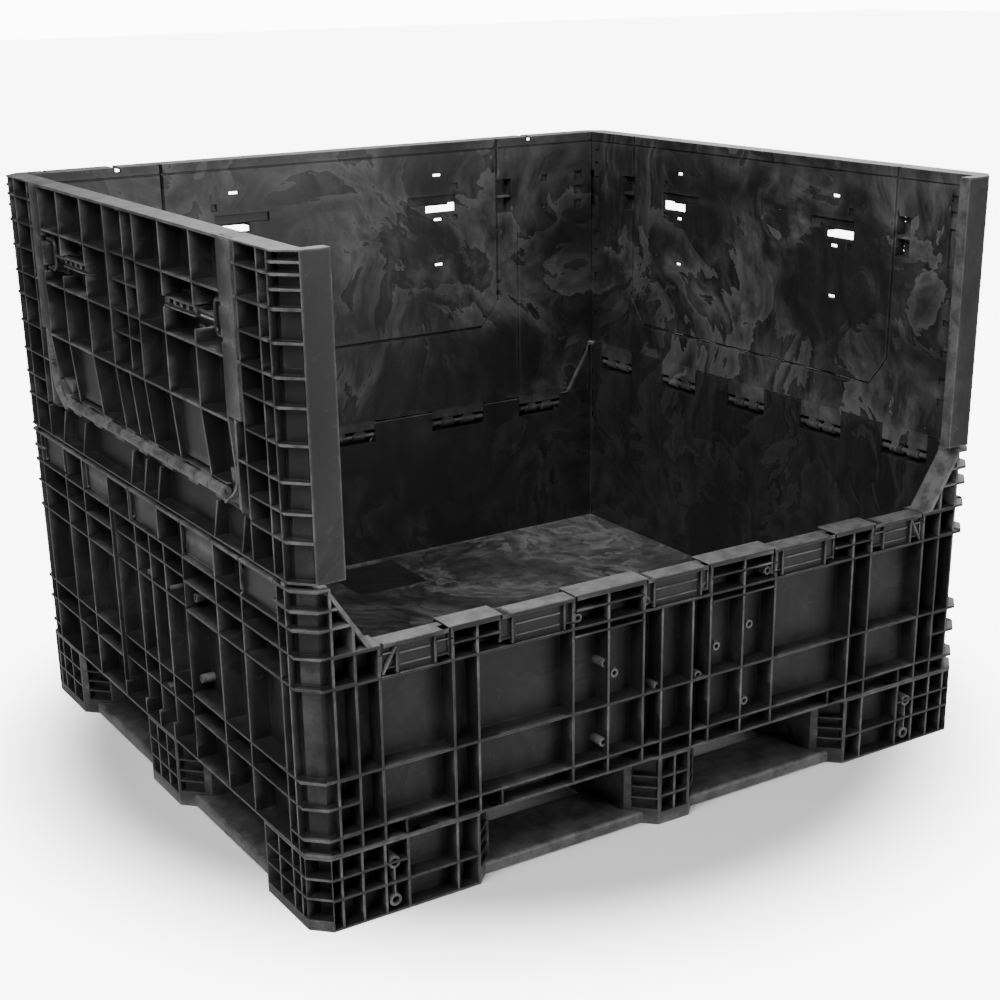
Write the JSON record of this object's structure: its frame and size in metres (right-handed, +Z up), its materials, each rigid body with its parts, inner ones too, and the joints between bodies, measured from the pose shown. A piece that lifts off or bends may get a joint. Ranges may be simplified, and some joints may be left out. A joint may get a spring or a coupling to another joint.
{
  "type": "folding wall bulk container",
  "caption": "Large folding-wall bulk container on a four-way pallet base, with drop doors held by sliding latches and its front upper wall taken off.",
  "frame": {"origin": "centre of the footprint, on the ground", "axes": "+X along the long front from its left corner to its right, +Y from the open front to the back wall, +Z up"},
  "size_m": [1.41, 1.224, 1.067],
  "materials": {
    "shell": "moulded black, slightly scuffed",
    "floor": "worn black",
    "latch": "moulded black",
    "pin": "dark hinge rod"
  },
  "bodies": {
    "base": {"back_wall_pin_1": "pin", "back_wall_pin_2": "pin", "back_wall_pin_3": "pin", "back_wall_pin_4": "pin", "back_wall_pin_5": "pin", "base_wall_back": "shell", "base_wall_front": "shell", "base_wall_left": "shell", "base_wall_right": "shell", "deck_floor": "floor", "floor_cover_plate": "shell", "foot_back_left": "shell", "foot_back_middle": "shell", "foot_back_right": "shell", "foot_centre": "shell", "foot_front_left": "shell", "foot_front_middle": "shell", "foot_front_right": "shell", "foot_left_middle": "shell", "foot_right_middle": "shell", "left_door_rod": "pin", "left_wall": "shell", "left_wall_pin_1": "pin", "left_wall_pin_2": "pin", "left_wall_pin_3": "pin", "left_wall_pin_4": "pin", "left_wall_pin_5": "pin", "right_door_rod": "pin", "right_wall": "shell", "right_wall_pin_1": "pin", "right_wall_pin_2": "pin", "right_wall_pin_3": "pin", "right_wall_pin_4": "pin", "right_wall_pin_5": "pin", "runner_back": "shell", "runner_centre_across": "shell", "runner_centre_back": "shell", "runner_centre_front": "shell", "runner_front": "shell", "runner_left": "shell", "runner_right": "shell"},
    "back_wall": {"back_wall": "shell", "back_door_rod": "pin"},
    "left_door": {"left_door": "shell"},
    "right_door": {"right_door": "shell"},
    "back_door": {"back_door": "shell"},
    "left_door_latch_a": {"left_door_latch_a": "latch"},
    "left_door_latch_b": {"left_door_latch_b": "latch"},
    "right_door_latch_a": {"right_door_latch_a": "latch"},
    "right_door_latch_b": {"right_door_latch_b": "latch"},
    "back_door_latch_a": {"back_door_latch_a": "latch"},
    "back_door_latch_b": {"back_door_latch_b": "latch"},
    "back_corner_latch_a": {"back_corner_latch_a": "latch"},
    "back_corner_latch_b": {"back_corner_latch_b": "latch"}
  },
  "joints": [
    {"name": "back_wall_fold", "type": "hinge", "parent": "base", "child": "back_wall", "pos_m": [0, 0.574, 0.44], "axis": [1, 0, 0], "range_deg": [0, 90]},
    {"name": "left_door_drop", "type": "hinge", "parent": "base", "child": "left_door", "pos_m": [-0.695, 0, 0.664], "axis": [0, -1, 0], "range_deg": [0, 165]},
    {"name": "right_door_drop", "type": "hinge", "parent": "base", "child": "right_door", "pos_m": [0.695, 0, 0.664], "axis": [0, 1, 0], "range_deg": [0, 165]},
    {"name": "back_door_drop", "type": "hinge", "parent": "back_wall", "child": "back_door", "pos_m": [0, 0.602, 0.664], "axis": [-1, 0, 0], "range_deg": [0, 165]},
    {"name": "left_door_latch_a_slide", "type": "slide", "parent": "left_door", "child": "left_door_latch_a", "axis": [0, -1, 0], "range_m": [-0.025, 0]},
    {"name": "left_door_latch_b_slide", "type": "slide", "parent": "left_door", "child": "left_door_latch_b", "axis": [0, 1, 0], "range_m": [-0.025, 0]},
    {"name": "right_door_latch_a_slide", "type": "slide", "parent": "right_door", "child": "right_door_latch_a", "axis": [0, 1, 0], "range_m": [-0.025, 0]},
    {"name": "right_door_latch_b_slide", "type": "slide", "parent": "right_door", "child": "right_door_latch_b", "axis": [0, -1, 0], "range_m": [-0.025, 0]},
    {"name": "back_door_latch_a_slide", "type": "slide", "parent": "back_door", "child": "back_door_latch_a", "axis": [-1, 0, 0], "range_m": [-0.025, 0]},
    {"name": "back_door_latch_b_slide", "type": "slide", "parent": "back_door", "child": "back_door_latch_b", "axis": [1, 0, 0], "range_m": [-0.025, 0]},
    {"name": "back_corner_latch_a_slide", "type": "slide", "parent": "back_wall", "child": "back_corner_latch_a", "axis": [-1, 0, 0], "range_m": [-0.02, 0]},
    {"name": "back_corner_latch_b_slide", "type": "slide", "parent": "back_wall", "child": "back_corner_latch_b", "axis": [1, 0, 0], "range_m": [-0.02, 0]}
  ]
}
